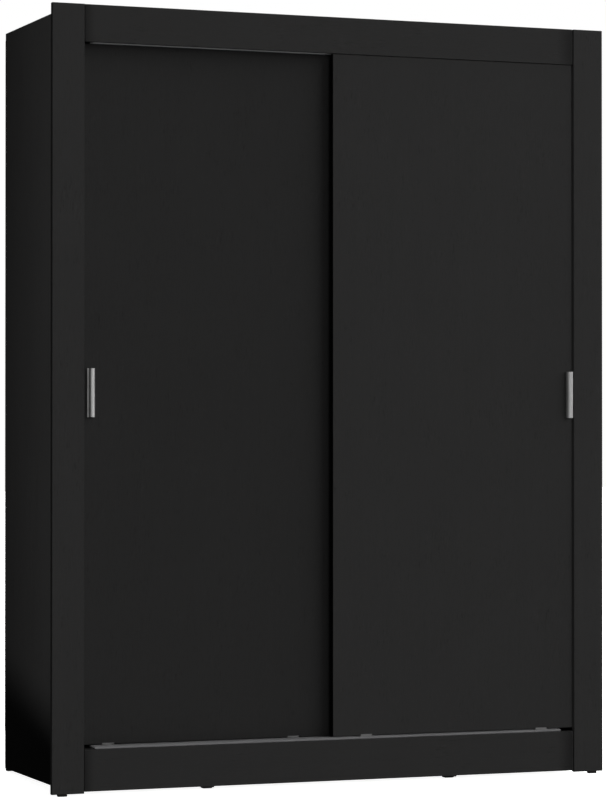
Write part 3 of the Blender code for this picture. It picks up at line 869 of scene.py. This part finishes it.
# ---------------------------------------------------------------- splines
def make_splines():
    """Round-fronted rubber strips that close the gap between each facing's end and its post."""
    for node in FACINGS:
        low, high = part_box(node)
        for side, sign in SIDES.items():
            post_low, post_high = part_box(f"{side}_front_post")
            ends = (high.x, post_low.x) if sign > 0 else (post_high.x, low.x)
            half = (ends[1] - ends[0]) / 2 - SPLINE_FIT
            crown = low.y + SPLINE_INSET
            foot = crown + SPLINE_DEPTH
            outline = list(fillet(sum(ends) / 2, crown + half, half, 180, 360, 10))
            outline += [(ends[1] - SPLINE_FIT, foot), (ends[0] + SPLINE_FIT, foot)]
            span = (low.z + SPLINE_END, high.z - SPLINE_END)
            shape, _ = prism(outline, *span, lambda u, v, level: (u, v, level))
            label = f"{side}_{node}_spline"
            piece(label, mesh_from(shape, label), ("rubber",), "carcass")


# ---------------------------------------------------------------- small fittings
def make_fittings():
    refined("bottom_track", "aluminium", 0.18 * MM)
    refined("top_track", "satin_aluminium", 0.25 * MM)
    refined("back_cover_strip", "black_plastic", 0.2 * MM)
    for side in SIDES:
        refined(f"{side}_wall_bracket", "zinc", 0.4 * MM)
        refined(f"{side}_door_bumper", "rubber", 0.5 * MM)
        for place in ("post", "side", "bearer_front", "bearer_rear"):
            refined(f"{side}_{place}_glide", "black_plastic", 0.9 * MM)
        low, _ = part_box(f"{side}_wall_bracket")
        middle = centre_of(f"{side}_wall_bracket").x
        row = Vector((middle, low.y + BRACKET_SCREW_ROW, low.z + BRACKET_SHEET))
        places = [row + Vector((sign * BRACKET_SCREW_OFFSET, 0, 0)) for sign in (-1, 1)]
        heads(f"{side}_bracket_screws", "screw", 3.6 * MM, places, (0, 0, 1))


# ---------------------------------------------------------------- camera
def make_camera():
    data = bpy.data.cameras.new("studio_camera")
    data.lens = CAMERA_LENS
    data.sensor_width = SENSOR
    data.clip_end = 100.0
    camera = bpy.data.objects.new("studio_camera", data)
    bpy.context.scene.collection.objects.link(camera)
    camera.location = CAMERA_PLACE
    camera.rotation_euler = (radians(90 + CAMERA_PITCH), 0.0, radians(-CAMERA_YAW))
    bpy.context.scene.camera = camera


# ---------------------------------------------------------------- light
def add_light(name, kind, place, target, strength):
    data = bpy.data.lights.new(name, kind)
    data.energy = strength
    light = bpy.data.objects.new(name, data)
    bpy.context.scene.collection.objects.link(light)
    light.location = place
    light.rotation_euler = (Vector(target) - Vector(place)).to_track_quat("-Z", "Y").to_euler()
    return light


def sun(name, azimuth, elevation, angle, strength):
    """Light from a wide even source a long way off. Azimuth 0 is straight in front and 90 on the right."""
    a, e = radians(azimuth), radians(elevation)
    away = Vector((sin(a) * cos(e), -cos(a) * cos(e), sin(e))) * 10
    light = add_light(name, "SUN", away, (0, 0, 0), strength)
    light.data.angle = radians(angle)
    return light


SIDE_PLACE = (-5.2, 0.0, 1.25)
SIDE_TARGET = (-0.74, 0.0, 1.25)
SIDE_GRADE = (-0.0655, 0.017, 0.61, 1.0)  # slopes across the beam, rear to front, then the light at each
SIDE_FLAG = (-0.256, -0.211, 0.0, 1.0)  # slopes up the beam, then the light at each
FLAG_TILT = 0.216


def flagged_light(name, power):
    """A lamp beside the object, graded from rear to front and flagged off low down."""
    light = add_light(name, "SPOT", SIDE_PLACE, SIDE_TARGET, power)
    light.data.spot_size = radians(60)
    light.data.spot_blend = 0.3
    light.data.shadow_soft_size = 0.02
    light.data.use_nodes = True
    tree = light.data.node_tree

    def math(operation, first, second):
        node = tree.nodes.new("ShaderNodeMath")
        node.operation = operation
        for socket, value in zip(node.inputs, (first, second)):
            if isinstance(value, float):
                socket.default_value = value
            else:
                tree.links.new(value, socket)
        return node.outputs["Value"]

    def graded(value, limits, kind):
        node = tree.nodes.new("ShaderNodeMapRange")
        node.interpolation_type = kind
        tree.links.new(value, node.inputs["Value"])
        for socket, limit in zip(("From Min", "From Max", "To Min", "To Max"), limits):
            node.inputs[socket].default_value = limit
        return node.outputs["Result"]

    split = tree.nodes.new("ShaderNodeSeparateXYZ")
    tree.links.new(tree.nodes.new("ShaderNodeTexCoord").outputs["Normal"], split.inputs["Vector"])
    ahead = math("ABSOLUTE", split.outputs["Z"], 0.0)
    across = math("DIVIDE", split.outputs["X"], ahead)
    up = math("DIVIDE", split.outputs["Y"], ahead)
    flag = graded(math("ADD", up, math("MULTIPLY", across, FLAG_TILT)), SIDE_FLAG, "SMOOTHSTEP")
    level = math("MULTIPLY", flag, graded(across, SIDE_GRADE, "LINEAR"))
    tree.links.new(level, tree.nodes["Emission"].inputs["Strength"])
    return light


def linked(name, state, *pieces):
    """A collection for a light's linking: only these pieces, or everything but them."""
    group = bpy.data.collections.new(name)
    for label in pieces:
        group.objects.link(bpy.data.objects[label])
    for row in group.collection_objects:
        row.light_linking.link_state = state
    return group


# ---------------------------------------------------------------- floor, world and studio
FLOOR_GLOW = 0.95
FLOOR_HALF = 40.0


def make_floor():
    graph = Graph("studio_floor")
    mottle = graph.noise(graph.coords, 1.3, 3.0)
    grain = graph.noise(graph.coords, 160.0, 3.0)
    speckle = graph.span(grain, 0.3, 0.7, -0.01, 0.01)
    shade = graph.math("ADD", graph.span(mottle, 0.3, 0.7, 0.985, 1.0), speckle)
    colour = graph.tinted((0.80, 0.80, 0.80), shade)
    graph.finish(colour=colour, roughness=0.9, normal=graph.bump(grain, 0.0001))
    graph.shader.inputs["Emission Color"].default_value = (1, 1, 1, 1)
    graph.shader.inputs["Emission Strength"].default_value = FLOOR_GLOW
    shape = bmesh.new()
    bmesh.ops.create_grid(shape, x_segments=4, y_segments=4, size=FLOOR_HALF)
    mesh = mesh_from(shape, "studio_floor")
    mesh.materials.append(graph.material)
    floor = bpy.data.objects.new("studio_floor", mesh)
    bpy.context.scene.collection.objects.link(floor)
    floor.visible_diffuse = False
    floor.visible_glossy = False
    floor.visible_shadow = False


AMBIENT = (-0.3, 0.4, 0.012, 0.07)  # directions from left to right, then the light from each


def make_world():
    """White behind the object, and a dim grey for the light that falls on it."""
    world = bpy.data.worlds.new("studio")
    bpy.context.scene.world = world
    world.use_nodes = True
    tree = world.node_tree
    seen = tree.nodes["Background"]
    seen.inputs["Color"].default_value = (1, 1, 1, 1)
    seen.inputs["Strength"].default_value = 1.0
    cast = tree.nodes.new("ShaderNodeBackground")
    cast.inputs["Color"].default_value = (1, 1, 1, 1)
    split = tree.nodes.new("ShaderNodeSeparateXYZ")
    tree.links.new(tree.nodes.new("ShaderNodeTexCoord").outputs["Generated"], split.inputs["Vector"])
    fall = tree.nodes.new("ShaderNodeMapRange")
    tree.links.new(split.outputs["X"], fall.inputs["Value"])
    for socket, value in zip(("From Min", "From Max", "To Min", "To Max"), AMBIENT):
        fall.inputs[socket].default_value = value
    tree.links.new(fall.outputs["Result"], cast.inputs["Strength"])
    path = tree.nodes.new("ShaderNodeLightPath")
    mix = tree.nodes.new("ShaderNodeMixShader")
    tree.links.new(path.outputs["Is Camera Ray"], mix.inputs["Fac"])
    tree.links.new(cast.outputs["Background"], mix.inputs[1])
    tree.links.new(seen.outputs["Background"], mix.inputs[2])
    tree.links.new(mix.outputs["Shader"], tree.nodes["World Output"].inputs["Surface"])


KEY = (60.0, 24.0, 60.0, 2.60)  # the azimuth, elevation and width in degrees, then the strength


def make_studio():
    make_camera()
    make_floor()
    make_world()
    view = bpy.context.scene.view_settings
    view.view_transform = "Standard"
    view.look = "None"
    sun("front_light", -2.0, 6.0, 24.0, 0.48)
    sun("floor_bounce", 8.0, -35.0, 60.0, 0.50)
    left_post, right_post = (f"{side}_front_post_board" for side in SIDES)
    front_door = "right_door_panel_board"
    # The right post shades nothing from the key light, and the fascia doesn't shade the front door.
    key = sun("key", *KEY)
    key.light_linking.blocker_collection = linked("key_blockers", "EXCLUDE", right_post)
    key.light_linking.receiver_collection = linked("key_receivers", "EXCLUDE", front_door)
    door_key = sun("door_key", *KEY)
    blockers = linked("door_key_blockers", "EXCLUDE", right_post, "top_fascia_board")
    door_key.light_linking.blocker_collection = blockers
    receivers = linked("door_key_receivers", "INCLUDE", front_door)
    door_key.light_linking.receiver_collection = receivers
    edge_light = sun("edge_light", -84.0, 4.0, 10.0, 1.20)
    receivers = linked("edge_light_receivers", "INCLUDE", left_post, right_post)
    edge_light.light_linking.receiver_collection = receivers
    sun("right_fill", 105.0, 20.0, 50.0, 2.4)
    sun("rear_fill", 152.0, 35.0, 50.0, 3.0)
    side_light = flagged_light("side_light", 515.0)
    receivers = linked("side_light_receivers", "EXCLUDE", left_post)
    side_light.light_linking.receiver_collection = receivers
    pull_light = sun("pull_light", -38.0, 8.0, 30.0, 0.9)
    receivers = linked("pull_light_receivers", "INCLUDE", "right_pull_shell")
    pull_light.light_linking.receiver_collection = receivers


make_boards()
make_doors()
make_back()
make_fittings()
make_splines()
make_rail()
make_shelf_pins()
make_track_screws()
make_studio()
for mesh in HEADS.values():
    bpy.data.meshes.remove(mesh)
